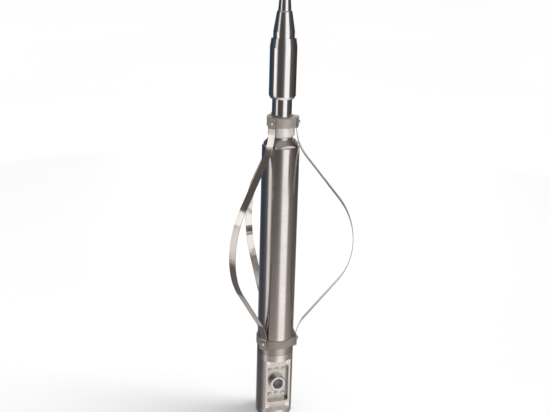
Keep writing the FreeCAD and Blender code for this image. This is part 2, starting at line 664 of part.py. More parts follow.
def make_bulkhead():
    body = turned("Bulkhead", [
        ("bearing_r", "band_low"), ("head_r", "band_low"), ("head_r", "tube_low"),
        ("spigot_r", "tube_low"), ("spigot_r", "spigot_top"), ("bearing_r + 2", "spigot_top"),
        ("bearing_r + 2", "nut_low"), ("bearing_r", "nut_low"), ("bearing_r", "bearing_high"),
        ("bearing_r - 1.4", "bearing_high"),
        ("bearing_r - 1.4", "bearing_low + bearing_width"),
        ("bearing_r", "bearing_low + bearing_width")])
    depths = ("o_ring_first", "o_ring_first + o_ring_pitch")
    grooves = [spigot_groove(f"tube_low + {depth}") for depth in depths]
    name_part(cut(body, *grooves), "lower_bulkhead")
    name_part(group([spigot_seal(f"tube_low + {depth}") for depth in depths]), "bulkhead_o_rings")
    seal = turned("ShaftSeal", [
        ("shaft_r + 0.08", "0.3"), ("bearing_r", "0"), ("bearing_r", "4.4"), ("shaft_r + 2.4", "4.4"),
        ("shaft_r + 2.4", "1.6"), ("shaft_r + 0.08", "1.4")], "band_low")
    name_part(seal, "shaft_seal")


def make_bearings():
    outers = []
    inners = []
    balls = []
    ball_count = 10
    for height in ("bearing_low", "bearing_high"):
        middle = f"({height}) + bearing_width / 2"
        race = [ring_seal("ball_circle_r", "ball_r + 0.06", middle) for _ in range(2)]
        outer = cut(rod("bearing_r", "bearing_width", height),
                    rod("ball_circle_r + 0.8", "bearing_width", height))
        inner = cut(rod("ball_circle_r - 0.8", "bearing_width", height),
                    rod("shaft_r", "bearing_width", height))
        outers.append(cut(outer, race[0]))
        inners.append(cut(inner, race[1]))
        for index in range(ball_count):
            ball = doc.addObject("Part::Sphere", "Ball")
            bind(ball, Radius="ball_r")
            angle = 360 / ball_count * index
            stand(ball, middle, f"ball_circle_r * cos({angle})", f"ball_circle_r * sin({angle})")
            balls.append(ball)
    name_part(group(outers), "bearing_outer_rings")
    name_part(group(inners), "bearing_inner_rings")
    name_part(group(balls), "bearing_balls")


def gear_wire(teeth, module, thinning):
    """Outline of a spur gear with straight flanks; a tooth points along +X."""
    pitch_r = teeth * module / 2
    outer_r = pitch_r + module * 0.9
    root_r = pitch_r - module * 1.2
    step = 2 * math.pi / teeth
    half = step / 4 - thinning / pitch_r
    points = []
    for tooth in range(teeth):
        middle = tooth * step
        corners = ((root_r, -half * 1.75), (pitch_r, -half), (outer_r, -half * 0.45),
                   (outer_r, half * 0.45), (pitch_r, half), (root_r, half * 1.75))
        for radius, angle in corners:
            points.append(V(radius * math.cos(middle + angle), radius * math.sin(middle + angle), 0))
    points.append(points[0])
    return Part.makePolygon(points)


def make_drive():
    module = number("gear_module")
    width = number("gear_width")
    thinning = 0.04
    shaft_r = number("shaft_r")
    gear_low = number("gear_low")
    nut_top = number("nut_low + 4.5")
    gear = Part.Face(gear_wire(GEAR_TEETH, module, thinning)).extrude(V(0, 0, width))
    gear.translate(V(0, 0, gear_low))
    hub = Part.makeCylinder(shaft_r + 2.2, gear_low - nut_top, V(0, 0, nut_top))
    bore = Part.makeCylinder(shaft_r, 40, V(0, 0, nut_top - 10))
    name_part(shaped("PanGear", gear.fuse(hub).cut(bore)), "pan_gear")
    centre = (GEAR_TEETH + PINION_TEETH) * module / 2 + 0.05
    shaft = Part.makeCylinder(1.2, 12, V(0, 0, -1))
    pinion = Part.Face(gear_wire(PINION_TEETH, module, thinning)).extrude(V(0, 0, width)).cut(shaft)
    pinion.rotate(V(), Z_AXIS, 180 / PINION_TEETH)
    pinion.translate(V(0, centre, gear_low))
    output = Part.makeCylinder(1.2, number("motor_low + 1.5 - gear_low + 1"), V(0, centre, gear_low - 1))
    name_part(shaped("Pinion", pinion.fuse(output)), "motor_pinion")
    motor = join(stand(rod("motor_r", "motor_length"), "motor_top", "0", str(centre)),
                 stand(rod("3.5", "motor_plate_thickness + 1"), "motor_low", "0", str(centre)))
    shaft_hole = stand(rod("1.25", "3"), "motor_low - 0.5", "0", str(centre))
    name_part(cut(motor, shaft_hole), "gearmotor")
    leg_circle_r = "(spigot_r + bearing_r + 2) / 2"
    legs = [stand(rod("2", "motor_plate_rise"), "spigot_top",
                  f"{leg_circle_r} * cos({angle})", f"{leg_circle_r} * sin({angle})")
            for angle in (30, 150, 270)]
    name_part(group(legs), "motor_standoffs")
    plate = cut(rod("tube_bore_r - 0.5", "motor_plate_thickness", "motor_low"),
                stand(rod("3.5", "8"), "motor_low - 1", "0", str(centre)),
                rod("6.5", "8", "motor_low - 1"))
    name_part(plate, "motor_plate")


def make_shaft():
    shaft = turned("HeadShaft", [
        ("shaft_bore_r", "deck_low"), ("shaft_r + flange_step", "deck_low"),
        ("shaft_r + flange_step", "deck_low + flange_thickness"), ("shaft_r", "deck_low + flange_thickness"),
        ("shaft_r", "gear_low + gear_width + 1.5"),
        ("shaft_bore_r", "gear_low + gear_width + 1.5")])
    name_part(shaft, "head_shaft")
    name_part(cut(rod("shaft_r + 3.4", "4.5", "nut_low"), rod("shaft_r", "6", "nut_low - 1")), "shaft_nut")
    slip = join(rod("6.2", "22", "motor_low"), rod("8.4", "2", "motor_top"))
    name_part(cut(slip, rod("1.6", "24", "motor_low - 1")), "slip_ring")


# ---------------------------------------------------------------- camera head


def make_head():
    """The head's turned blank with the flat, the plate seat, the cavity and the cap's bore."""
    blank = rod("head_r", "head_length")
    wide = "2 * head_r + 4"
    seat = block(wide, "head_r", "flat_high - flat_low", "-head_r - 2", "-seat_depth - head_r", "flat_low")
    front = "seat_depth - seat_wall"
    room = common(rod("cavity_r", "deck_low - cap_thickness", "cap_thickness"),
                  block(wide, "2 * head_r", "head_length", "-head_r - 2", f"-({front})", "0"))
    window = block("recess_width - 4", "seat_wall + 2", "recess_high - recess_low - 2",
                   "-recess_width / 2 + 2", "-seat_depth - 1", "recess_low + 1")
    cap_bore = rod("cavity_r + cap_lip", "cap_thickness")
    shaft_hole = rod("shaft_r", "deck_thickness + 2", "deck_low - 1")
    flange_seat = rod("shaft_r + flange_step", "flange_thickness + 1", "deck_low - 1")
    screws = [plate_screw_place(rod("screw_shank_r", "seat_wall + 3"), "seat_depth - seat_wall - 1", x, z)
              for x in (-1, 1) for z in (-1, 1)]
    head = cut(blank, seat, room, window, cap_bore, shaft_hole, flange_seat, *screws)
    name_part(face_head(head), "head_body")


def plate_screw_place(item, depth, x_side, z_side):
    """Point an item along -Y at one of the plate's four screw places."""
    item.Placement = FreeCAD.Placement(V(), FreeCAD.Rotation(V(1, 0, 0), 90))
    low = "flat_low + plate_screw_end" if z_side < 0 else "flat_high - plate_screw_end"
    return stand(item, low, f"{x_side} * plate_screw_x", f"-({depth})")


def make_lens_plate():
    high = "flat_high - flat_low"
    slab = common(rod("head_r", high, "flat_low"),
                  block("2 * head_r", "plate_thickness", high, "-head_r", "-flat_depth", "flat_low"))
    recess = block("recess_width", "recess_depth + 1", "recess_high - recess_low", "-recess_width / 2",
                   "-flat_depth - 1", "recess_low")
    rounded = doc.addObject("Part::Fillet", "RoundedRecess")
    rounded.Base = recess
    doc.recompute()
    upright = [index + 1 for index, edge in enumerate(recess.Shape.Edges)
               if abs(edge.tangentAt(edge.FirstParameter).y) > 0.9]
    corner = number("recess_corner_r")
    rounded.Edges = [(index, corner, corner) for index in upright]
    port = stand_port(rod("port_r", "8"), "plate_back - 1")
    lamps = [stand_lamp(rod("led_r", "8"), "plate_back - 1", column, row)
             for row in (-1, 1) for column in (-1, 0, 1)]
    screws = []
    for x_side in (-1, 1):
        for z_side in (-1, 1):
            hole = rod("screw_shank_r", "plate_thickness + 2")
            screws.append(plate_screw_place(hole, "plate_back - 1", x_side, z_side))
            sink = doc.addObject("Part::Cone", "Countersink")
            bind(sink, Radius1="screw_shank_r", Radius2="screw_shank_r + countersink", Height="countersink")
            screws.append(plate_screw_place(sink, "flat_depth - countersink", x_side, z_side))
    name_part(face_head(cut(slab, rounded, port, *lamps, *screws)), "lens_plate")
    gasket_slab = common(rod("head_r - 0.3", high, "flat_low"),
                         block("2 * head_r", "gasket_thickness", high, "-head_r", "-plate_back", "flat_low"))
    hole = block("recess_width - 4", "3", "recess_high - recess_low - 2", "-recess_width / 2 + 2",
                 "-plate_back - 1", "recess_low + 1")
    holes = [plate_screw_place(rod("screw_shank_r", "4"), "plate_back - 2", x_side, z_side)
             for x_side in (-1, 1) for z_side in (-1, 1)]
    name_part(face_head(cut(gasket_slab, hole, *holes)), "plate_gasket")


def stand_port(item, depth):
    item.Placement = FreeCAD.Placement(V(), FreeCAD.Rotation(V(1, 0, 0), 90))
    return stand(item, "port_z", "0", f"-({depth})")


def stand_lamp(item, depth, column, row):
    item.Placement = FreeCAD.Placement(V(), FreeCAD.Rotation(V(1, 0, 0), 90))
    return stand(item, f"port_z + {row} * led_rise", f"{column} * led_pitch", f"-({depth})")


def make_plate_screws():
    screws = []
    tip = "seat_depth - seat_wall"
    length = f"flat_depth - ({tip})"
    for x_side in (-1, 1):
        for z_side in (-1, 1):
            screw = turned(f"PlateScrew{len(screws)}", [
                ("0", "0"), ("screw_shank_r", "0"), ("screw_shank_r", f"{length} - countersink"),
                ("screw_shank_r + countersink", length), ("0", length)])
            plate_screw_place(screw, tip, x_side, z_side)
            socket = doc.addObject("Part::Prism", "Socket")
            socket.Polygon = 6
            bind(socket, Circumradius="1.15", Height="2")
            plate_screw_place(socket, "flat_depth - 1.2", x_side, z_side)
            screws.append(cut(screw, socket))
    name_part(face_head(group(screws)), "plate_screws")


def make_port():
    foot = "recess_depth - plate_thickness + 0.2"
    ring = turned("PortRing", [
        ("lens_r", foot), ("lens_r", "port_rim - 1.2"), ("lens_r + 1.2", "port_rim"),
        ("port_r - 0.8", "port_rim"), ("port_r", "port_rim - 0.8"), ("port_r", foot)])
    stand_port(ring, "recess_floor")
    slots = [block("3", "2.5", "1.2", "-1.5", "-port_face - 1.2", f"port_z {side} port_r - 0.6")
             for side in ("-", "+")]
    name_part(face_head(cut(ring, *slots)), "port_ring")
    glass = rod("lens_r", "glass_thickness")
    name_part(face_head(stand_port(glass, "port_face - glass_inset - glass_thickness")), "port_glass")
    barrel = turned("LensBarrel", [
        ("barrel_bore_r", "0"), ("6.4", "0"), ("6.4", "9"), ("5.6", "10.4"), ("barrel_bore_r", "10.4")])
    name_part(face_head(stand_port(barrel, "camera_back")), "lens_barrel")
    element = turned("LensElement", [
        ("0", "0"), ("barrel_bore_r", "0"), ("barrel_bore_r", "1.4"), ("barrel_bore_r - 1", "2.2"),
        ("2", "2.8"), ("0", "3")])
    name_part(face_head(stand_port(element, "camera_back + 7")), "lens_element")
    board = block("22", "board_thickness", "22", "-11", "-camera_back", "port_z - 11")
    name_part(face_head(board), "camera_board")
    posts = []
    for x_side in (-1, 1):
        for z_side in (-1, 1):
            post = stand_port(rod("1.6", "plate_back - board_thickness - camera_back"), "camera_back")
            posts.append(stand(post, f"port_z + {z_side} * 8.6", f"{x_side} * 8.6", "-(camera_back)"))
    name_part(face_head(group(posts)), "camera_posts")


def make_lamps():
    lamps = []
    straight = "recess_floor - plate_back + led_stand"
    for row in (-1, 1):
        for column in (-1, 0, 1):
            body = stand_lamp(rod("led_r", straight), "plate_back", column, row)
            dome = doc.addObject("Part::Sphere", "Dome")
            bind(dome, Radius="led_r")
            stand_lamp(dome, "recess_floor + led_stand", column, row)
            limit = stand_lamp(rod("led_r", f"{straight} + led_r + 1"), "plate_back", column, row)
            lamps.append(join(body, common(dome, limit)))
    name_part(face_head(group(lamps)), "lamps")
    board = cut(block("recess_width - 5", "board_thickness", "recess_high - recess_low - 3",
                      "-recess_width / 2 + 2.5", "-plate_back", "recess_low + 1.5"),
                stand_port(rod("port_r - 2", "6"), "plate_back - 4"))
    name_part(face_head(board), "lamp_board")


def make_nose():
    cap = rod("cavity_r + cap_lip", "cap_thickness")
    holes = [stand(rod("2", "3"), "-0.01", f"{side} * 14") for side in (-1, 1)]
    groove = cut(rod("cavity_r + cap_lip + 1", "2.4", "2"), rod("cavity_r + cap_lip - 1.7", "4", "1"))
    name_part(face_head(cut(cap, groove, *holes)), "nose_cap")
    name_part(ring_seal("cavity_r + cap_lip - 0.85", "0.8", "3.2"), "nose_o_ring")


def main():
    make_termination()
    make_connector()
    make_sleeve()
    make_neck()
    make_slider()
    make_lower_ring()
    make_clamps()
    make_bows()
    make_tube()
    make_plug()
    make_chassis()
    make_bulkhead()
    make_bearings()
    make_drive()
    make_shaft()
    make_head()
    make_lens_plate()
    make_plate_screws()
    make_port()
    make_lamps()
    make_nose()
    doc.recompute()
    failed = [item.Label for item in doc.Objects if {"Invalid", "Error"} & set(item.State)]
    if failed:
        raise RuntimeError("these did not recompute: " + ", ".join(failed))
    for item in SUBPARTS:
        if item.Shape.isNull() or not item.Shape.isValid() or not item.Shape.Solids:
            raise RuntimeError(item.Label + " has no valid solid")
    os.makedirs("parts", exist_ok=True)
    for item in SUBPARTS:
        item.Shape.exportStep(f"parts/{item.Label}.step")
        box = item.Shape.BoundBox
        print(f"{item.Label:24s} solids {len(item.Shape.Solids):3d}  z {box.ZMin:8.2f} {box.ZMax:8.2f}"
              f"  volume {item.Shape.Volume:10.1f}")


main()
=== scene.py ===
import json
import math

import bmesh
import bpy
from mathutils import Matrix, Vector


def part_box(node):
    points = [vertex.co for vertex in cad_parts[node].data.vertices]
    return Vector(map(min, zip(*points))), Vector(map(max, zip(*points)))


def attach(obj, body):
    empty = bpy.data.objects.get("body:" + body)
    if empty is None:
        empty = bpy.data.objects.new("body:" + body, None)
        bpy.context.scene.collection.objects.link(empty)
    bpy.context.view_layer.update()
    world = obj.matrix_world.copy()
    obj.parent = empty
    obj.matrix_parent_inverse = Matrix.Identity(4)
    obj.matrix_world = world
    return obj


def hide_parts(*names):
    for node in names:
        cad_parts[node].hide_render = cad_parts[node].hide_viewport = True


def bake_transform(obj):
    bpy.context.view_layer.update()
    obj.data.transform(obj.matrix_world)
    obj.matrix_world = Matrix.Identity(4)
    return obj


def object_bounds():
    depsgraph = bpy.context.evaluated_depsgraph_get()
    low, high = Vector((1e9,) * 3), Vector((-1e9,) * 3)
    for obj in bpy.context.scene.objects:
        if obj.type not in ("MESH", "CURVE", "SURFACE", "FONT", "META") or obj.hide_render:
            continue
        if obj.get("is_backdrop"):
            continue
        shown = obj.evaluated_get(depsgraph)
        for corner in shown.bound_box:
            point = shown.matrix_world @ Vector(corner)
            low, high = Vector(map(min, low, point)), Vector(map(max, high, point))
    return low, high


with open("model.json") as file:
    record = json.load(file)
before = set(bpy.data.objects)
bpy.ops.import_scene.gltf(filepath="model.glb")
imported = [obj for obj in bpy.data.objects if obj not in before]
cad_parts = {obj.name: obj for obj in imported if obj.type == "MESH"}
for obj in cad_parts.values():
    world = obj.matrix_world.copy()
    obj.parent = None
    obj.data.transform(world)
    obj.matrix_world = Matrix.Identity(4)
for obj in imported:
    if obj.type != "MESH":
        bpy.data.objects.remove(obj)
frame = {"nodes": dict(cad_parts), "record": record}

# Borehole camera probe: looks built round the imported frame. Metres, +Z up the probe's axis, nose face at z 0.

CAD_LOW, CAD_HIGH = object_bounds()
MM = 0.001
SLOT_OF = {row["node"]: row["material_slot"] for row in frame["record"]["subparts"]}
FIRST_BOW = -4.7                        # degrees from +X, the other bows follow at thirds of a turn
BOW_AZIMUTH = {side: FIRST_BOW + 120.0 * turn for turn, side in enumerate(("right", "rear", "left"))}
HEAD_AZIMUTH = -72.0                    # direction that the lens looks in


def low(node):
    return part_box(node)[0]


def high(node):
    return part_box(node)[1]


def placed(name, data):
    """New object of the scene that holds a mesh, light or camera."""
    obj = bpy.data.objects.new(name, data)
    bpy.context.scene.collection.objects.link(obj)
    return obj


# ---------------------------------------------------------------- camera

CAMERA_AWAY = 1.2663
CAMERA_HEIGHT = 0.7367
SENSOR_WIDTH = 36.0                     # millimetres, as the focal length
FOCAL_LENGTH = 65.45


def make_camera():
    """Camera that looks down at the probe, a little turned and rolled; angles in radians."""
    pitch = 0.328448
    yaw = -0.004312
    roll = 0.027812
    forward = Vector((math.sin(yaw) * math.cos(pitch), math.cos(yaw) * math.cos(pitch), -math.sin(pitch)))
    level = Vector((math.cos(yaw), -math.sin(yaw), 0))
    upright = level.cross(forward)
    right = math.cos(roll) * level + math.sin(roll) * upright
    up = math.cos(roll) * upright - math.sin(roll) * level
    data = bpy.data.cameras.new("Camera")
    data.sensor_width = SENSOR_WIDTH
    data.lens = FOCAL_LENGTH
    camera = placed("Camera", data)
    camera.matrix_world = Matrix((right, up, -forward)).transposed().to_4x4()
    camera.matrix_world.translation = Vector((0, -CAMERA_AWAY, CAMERA_HEIGHT))
    bpy.context.scene.camera = camera


# ---------------------------------------------------------------- node materials


class Paint:
    """One node material, built in a few calls."""

    def __init__(self, name, **constants):
        self.material = bpy.data.materials.new(name)
        self.material.use_nodes = True
        self.tree = self.material.node_tree
        self.shader = self.tree.nodes["Principled BSDF"]
        for socket, value in constants.items():
            self.shader.inputs[socket.replace("_", " ")].default_value = value

    def node(self, kind, **settings):
        node = self.tree.nodes.new(kind)
        for name, value in settings.items():
            setattr(node, name, value)
        return node

    def link(self, source, target):
        self.tree.links.new(source, target)

    def place(self, stretch):
        """Place on the object, in its own space, stretched along its axes."""
        place = self.node("ShaderNodeTexCoord")
        mapping = self.node("ShaderNodeMapping")
        mapping.inputs["Scale"].default_value = stretch
        self.link(place.outputs["Object"], mapping.inputs["Vector"])
        return mapping.outputs["Vector"]

    def noise(self, scale, stretch=(1, 1, 1), detail=3.0):
        """Noise in the object's own space; scale is in grains per metre."""
        noise = self.node("ShaderNodeTexNoise")
        noise.inputs["Scale"].default_value = scale
        noise.inputs["Detail"].default_value = detail
        noise.inputs["Roughness"].default_value = 0.55
        self.link(self.place(stretch), noise.inputs["Vector"])
        return noise.outputs["Fac"]

    def ramp(self, source, stops):
        """stops is a list of (place, colour)."""
        ramp = self.node("ShaderNodeValToRGB")
        elements = ramp.color_ramp.elements
        while len(elements) < len(stops):
            elements.new(0.5)
        for element, (place, colour) in zip(elements, stops):
            element.position = place
            element.color = (*colour, 1)
        self.link(source, ramp.inputs["Fac"])
        return ramp.outputs["Color"]

    def span(self, source, lowest, highest, start=0.3, end=0.7):
        """Map a value that runs from start to end onto lowest to highest."""
        node = self.node("ShaderNodeMapRange")
        node.inputs["From Min"].default_value = start
        node.inputs["From Max"].default_value = end
        node.inputs["To Min"].default_value = lowest
        node.inputs["To Max"].default_value = highest
        self.link(source, node.inputs["Value"])
        return node.outputs["Result"]

    def maths(self, operation, *values):
        node = self.node("ShaderNodeMath", operation=operation)
        for value, socket in zip(values, node.inputs):
            self.link(value, socket)
        return node.outputs["Value"]

    def sum(self, first, second):
        return self.maths("ADD", first, second)

    def mix(self, share, under, over):
        """Lay a second colour, fixed or from a socket, over the first by a share."""
        node = self.node("ShaderNodeMix", data_type="RGBA")
        self.link(share, node.inputs["Factor"])
        self.link(under, node.inputs["A"])
        if isinstance(over, tuple):
            node.inputs["B"].default_value = (*over, 1)
        else:
            self.link(over, node.inputs["B"])
        return node.outputs["Result"]

    def bump(self, height, strength, distance):
        node = self.node("ShaderNodeBump")
        node.inputs["Strength"].default_value = strength
        node.inputs["Distance"].default_value = distance
        self.link(height, node.inputs["Height"])
        self.link(node.outputs["Normal"], self.shader.inputs["Normal"])

    def facing_share(self, direction):
        """How squarely the surface faces a fixed direction of the object, either way round."""
        place = self.node("ShaderNodeTexCoord")
        dot = self.node("ShaderNodeVectorMath", operation="DOT_PRODUCT")
        dot.inputs[1].default_value = direction
        self.link(place.outputs["Normal"], dot.inputs[0])
        return self.maths("ABSOLUTE", dot.outputs["Value"])

    def colour(self, source):
        self.link(source, self.shader.inputs["Base Color"])

    def roughness(self, source):
        self.link(source, self.shader.inputs["Roughness"])


ROUND_MARKS = (0.02, 0.02, 1.0)         # lines that run round the axis
LONG_MARKS = (1, 1, 0.03)               # lines that run along it
FINE_MARKS = 2600.0
SMUDGE = 45.0


def turned_metal(name, dark, light, smooth, rough, mark_bump):
    """Metal turned or brushed round the probe's axis, with handling smudges."""
    paint = Paint(name, Metallic=1.0)
    marks = paint.noise(FINE_MARKS, ROUND_MARKS, 4.0)
    smudges = paint.noise(SMUDGE, (1, 1, 0.4), 3.0)
    both = paint.sum(paint.span(marks, 0.0, 0.55), paint.span(smudges, 0.0, 0.45))
    paint.colour(paint.ramp(both, [(0.0, dark), (1.0, light)]))
    paint.roughness(paint.span(both, rough, smooth, 0.0, 1.0))
    paint.bump(marks, mark_bump, 0.02 * MM)
    return paint.material


def blasted_metal(name, dark, light, smooth, rough, metallic):
    """Bead-blasted metal: fine even pits and a soft sheen."""
    paint = Paint(name, Metallic=metallic)
    pits = paint.noise(5200.0, (1, 1, 1), 2.0)
    patches = paint.noise(120.0, (1, 1, 1), 3.0)
    both = paint.sum(paint.span(pits, 0.0, 0.5), paint.span(patches, 0.0, 0.5))
    paint.colour(paint.ramp(both, [(0.0, dark), (1.0, light)]))
    paint.roughness(paint.span(both, rough, smooth, 0.0, 1.0))
    paint.bump(pits, 0.35, 0.03 * MM)
    return paint.material


def milled_plate(name):
    """Blasted front faces, with smoother tool-finished walls round the recess."""
    paint = Paint(name, Metallic=1.0)
    pits = paint.noise(4200.0, (1, 1, 1), 2.0)
    patches = paint.noise(150.0, (1, 1, 1), 3.0)
    both = paint.sum(paint.span(pits, 0.0, 0.4), paint.span(patches, 0.0, 0.6))
    angle = math.radians(HEAD_AZIMUTH)
    square = paint.facing_share((math.cos(angle), math.sin(angle), 0))
    paint.colour(paint.ramp(both, [(0.0, (0.49, 0.465, 0.44)), (1.0, (0.62, 0.595, 0.57))]))
    finish = paint.sum(paint.span(square, 0.13, 0.27, 0.05, 0.30), paint.span(both, 0.12, 0.0, 0.0, 1.0))
    paint.roughness(finish)
    paint.bump(pits, 0.3, 0.03 * MM)
    return paint.material


def rolled_strip(name):
    """Spring strip: rolling lines along its length and a bright polish."""
    paint = Paint(name, Metallic=1.0)
    lines = paint.noise(2400.0, LONG_MARKS, 3.0)
    patches = paint.noise(60.0, (1, 1, 0.5), 3.0)
    both = paint.sum(paint.span(lines, 0.0, 0.5), paint.span(patches, 0.0, 0.5))
    paint.colour(paint.ramp(both, [(0.0, (0.60, 0.56, 0.53)), (1.0, (0.78, 0.75, 0.72))]))
    paint.roughness(paint.span(both, 0.14, 0.08, 0.0, 1.0))
    paint.bump(lines, 0.06, 0.01 * MM)
    return paint.material


def moulded(name, dark, light, rough, grain, **constants):
    """Plastic, rubber or board: a fine moulded grain."""
    paint = Paint(name, **constants)
    grains = paint.noise(grain, (1, 1, 1), 3.0)
    patches = paint.noise(90.0, (1, 1, 1), 2.0)
    paint.colour(paint.ramp(patches, [(0.3, dark), (0.7, light)]))
    paint.roughness(paint.span(grains, rough + 0.08, rough - 0.08))
    paint.bump(grains, 0.25, 0.03 * MM)
    return paint.material


def window_glass(name):
    """Clear port glass with a faint haze of wiping marks."""
    paint = Paint(name, Alpha=0.22, IOR=1.6, Specular_IOR_Level=0.8)
    haze = paint.noise(260.0, (1, 1, 1), 4.0)
    paint.colour(paint.ramp(haze, [(0.3, (0.22, 0.23, 0.25)), (0.7, (0.32, 0.33, 0.35))]))
    paint.roughness(paint.span(haze, 0.02, 0.08))
    return paint.material


def coated_lens(name):
    """Front lens element: dark depth under a grey-blue anti-reflection coat."""
    paint = Paint(name, Metallic=0.0, Coat_Weight=0.15, Coat_Roughness=0.2, Specular_IOR_Level=0.3)
    bloom = paint.noise(500.0, (1, 1, 1), 2.0)
    paint.colour(paint.ramp(bloom, [(0.3, (0.255, 0.260, 0.270)), (0.7, (0.275, 0.280, 0.290))]))
    paint.roughness(paint.span(bloom, 0.42, 0.50))
    return paint.material


def lamp_epoxy(name):
    """Clear, faintly yellow epoxy of a white lamp."""
    paint = Paint(name, Transmission_Weight=0.35, IOR=1.5)
    flow = paint.noise(700.0, (1, 1, 1), 2.0)
    paint.colour(paint.ramp(flow, [(0.3, (0.88, 0.85, 0.68)), (0.7, (0.95, 0.93, 0.80))]))
    paint.roughness(paint.span(flow, 0.04, 0.12))
    return paint.material


def lamp_phosphor(name):
    """Yellow phosphor over the lamp's die, with a faint painted glow that brightens it; the lamp is not lit."""
    # painted glow: a faint emission in the phosphor's own colour that brightens the unlit die
    paint = Paint(name, Emission_Strength=0.5)
    grains = paint.noise(3500.0, (1, 1, 1), 2.0)
    shade = paint.ramp(grains, [(0.3, (0.88, 0.82, 0.54)), (0.7, (0.96, 0.92, 0.70))])
    paint.colour(shade)
    paint.link(shade, paint.shader.inputs["Emission Color"])
    paint.roughness(paint.span(grains, 0.45, 0.65))
    return paint.material


# Turned metals: darkest and lightest colour, smoothest and roughest finish, height of the marks.
TURNED = {
    "polished_steel": ((0.66, 0.65, 0.65), (0.80, 0.79, 0.79), 0.035, 0.10, 0.05),
    "tube_steel": ((0.58, 0.54, 0.52), (0.76, 0.72, 0.70), 0.13, 0.24, 0.10),
    "satin_steel": ((0.64, 0.60, 0.58), (0.80, 0.76, 0.74), 0.24, 0.36, 0.10),
    "band_steel": ((0.46, 0.435, 0.42), (0.58, 0.55, 0.535), 0.28, 0.40, 0.10),
    "ring_steel": ((0.52, 0.50, 0.485), (0.64, 0.62, 0.605), 0.20, 0.30, 0.06),
    "screw_steel": ((0.70, 0.68, 0.67), (0.86, 0.85, 0.84), 0.16, 0.28, 0.06),
    "bearing_steel": ((0.70, 0.70, 0.71), (0.82, 0.82, 0.83), 0.06, 0.14, 0.04),
    "motor_case": ((0.50, 0.50, 0.51), (0.62, 0.62, 0.63), 0.25, 0.38, 0.08),
    "contact_gold": ((0.78, 0.58, 0.24), (0.90, 0.72, 0.36), 0.10, 0.20, 0.04),
    "gear_brass": ((0.68, 0.50, 0.22), (0.82, 0.66, 0.34), 0.18, 0.32, 0.06),
}
# Blasted metals: darkest and lightest colour, smoothest and roughest finish, share of bare metal.
BLASTED = {
    "blasted_steel": ((0.32, 0.285, 0.25), (0.43, 0.385, 0.345), 0.50, 0.66, 0.55),
    "pale_blasted": ((0.45, 0.415, 0.38), (0.58, 0.54, 0.50), 0.48, 0.62, 0.6),
    "matt_steel": ((0.82, 0.80, 0.77), (0.91, 0.89, 0.86), 0.34, 0.46, 0.38),
    "sheared_steel": ((0.34, 0.33, 0.32), (0.44, 0.43, 0.42), 0.18, 0.28, 1.0),
    "chassis_aluminium": ((0.70, 0.71, 0.72), (0.82, 0.83, 0.84), 0.30, 0.45, 1.0),
}
# Mouldings: darkest and lightest colour, roughness, grains per metre.
MOULDED = {
    "seal_rubber": ((0.018, 0.018, 0.018), (0.035, 0.035, 0.035), 0.55, 4000.0),
    "insulator": ((0.05, 0.05, 0.055), (0.09, 0.09, 0.095), 0.50, 3000.0),
    "slip_ring_body": ((0.07, 0.07, 0.08), (0.11, 0.11, 0.12), 0.45, 2600.0),
    "wiper_plastic": ((0.13, 0.13, 0.135), (0.19, 0.19, 0.20), 0.42, 2600.0),
    "chip_black": ((0.020, 0.020, 0.022), (0.040, 0.040, 0.042), 0.50, 5000.0),
    "lens_black": ((0.010, 0.010, 0.012), (0.022, 0.022, 0.024), 0.38, 3500.0),
    "lamp_flange": ((0.80, 0.80, 0.76), (0.92, 0.92, 0.90), 0.25, 2600.0),
}

SPECIAL = {"plate_steel": milled_plate, "spring_steel": rolled_strip, "clear_glass": window_glass,
           "lens_coating": coated_lens, "lamp_epoxy": lamp_epoxy, "lamp_phosphor": lamp_phosphor}


def make_materials():
    """One material per slot of the record, and the extra ones that some pieces need."""
    made = {name: turned_metal(name, *look) for name, look in TURNED.items()}
    made |= {name: blasted_metal(name, *look) for name, look in BLASTED.items()}
    made |= {name: moulded(name, *look) for name, look in MOULDED.items()}
    made["circuit_board"] = moulded("circuit_board", (0.015, 0.12, 0.05), (0.03, 0.20, 0.09), 0.38, 1500.0,
                                    Coat_Weight=0.4, Coat_Roughness=0.2)
    made |= {name: make(name) for name, make in SPECIAL.items()}
    return made


# ---------------------------------------------------------------- mesh helpers

SAME_PLACE = 1e-7                       # corners this near each other are one


def lathe(outline, segments=96):
    """Vertices and faces of an open or closed outline of (radius, height) turned about Z."""
    verts = []
    rows = []
    for radius, height in outline:
        if radius < SAME_PLACE:
            rows.append([len(verts)] * segments)
            verts.append((0, 0, height))
            continue
        rows.append(list(range(len(verts), len(verts) + segments)))
        for step in range(segments):
            angle = math.tau * step / segments
            verts.append((radius * math.cos(angle), radius * math.sin(angle), height))
    return verts, skin(rows)


def skin(rows):
    """Faces between rows of vertex numbers that each go once round."""
    faces = []
    for below, above in zip(rows, rows[1:]):
        for step in range(len(below)):
            after = (step + 1) % len(below)
            corners = [below[step], below[after], above[after], above[step]]
            face = [corner for n, corner in enumerate(corners) if corner not in corners[:n]]
            if len(face) > 2:
                faces.append(face)
    return faces


def moved(shape, matrix):
    """The same shape elsewhere; a shape is a pair of lists, its vertices and its faces by vertex number."""
    verts, faces = shape
    return [tuple(matrix @ Vector(v)) for v in verts], faces


def joined(shapes):
    """Several shapes as one."""
    verts = []
    faces = []
    for new_verts, new_faces in shapes:
        faces += [[corner + len(verts) for corner in face] for face in new_faces]
        verts += new_verts
    return verts, faces


def mesh_of(name, shape):
    verts, faces = shape
    mesh = bpy.data.meshes.new(name)
    mesh.from_pydata(verts, [], faces)
    return mesh


def piece(name, shape, slot, body, stands_for, **finish):
    """Make one visible piece that rides on a body."""
    finish_piece(placed(name, mesh_of(name, shape)), slot, body, stands_for, **finish)


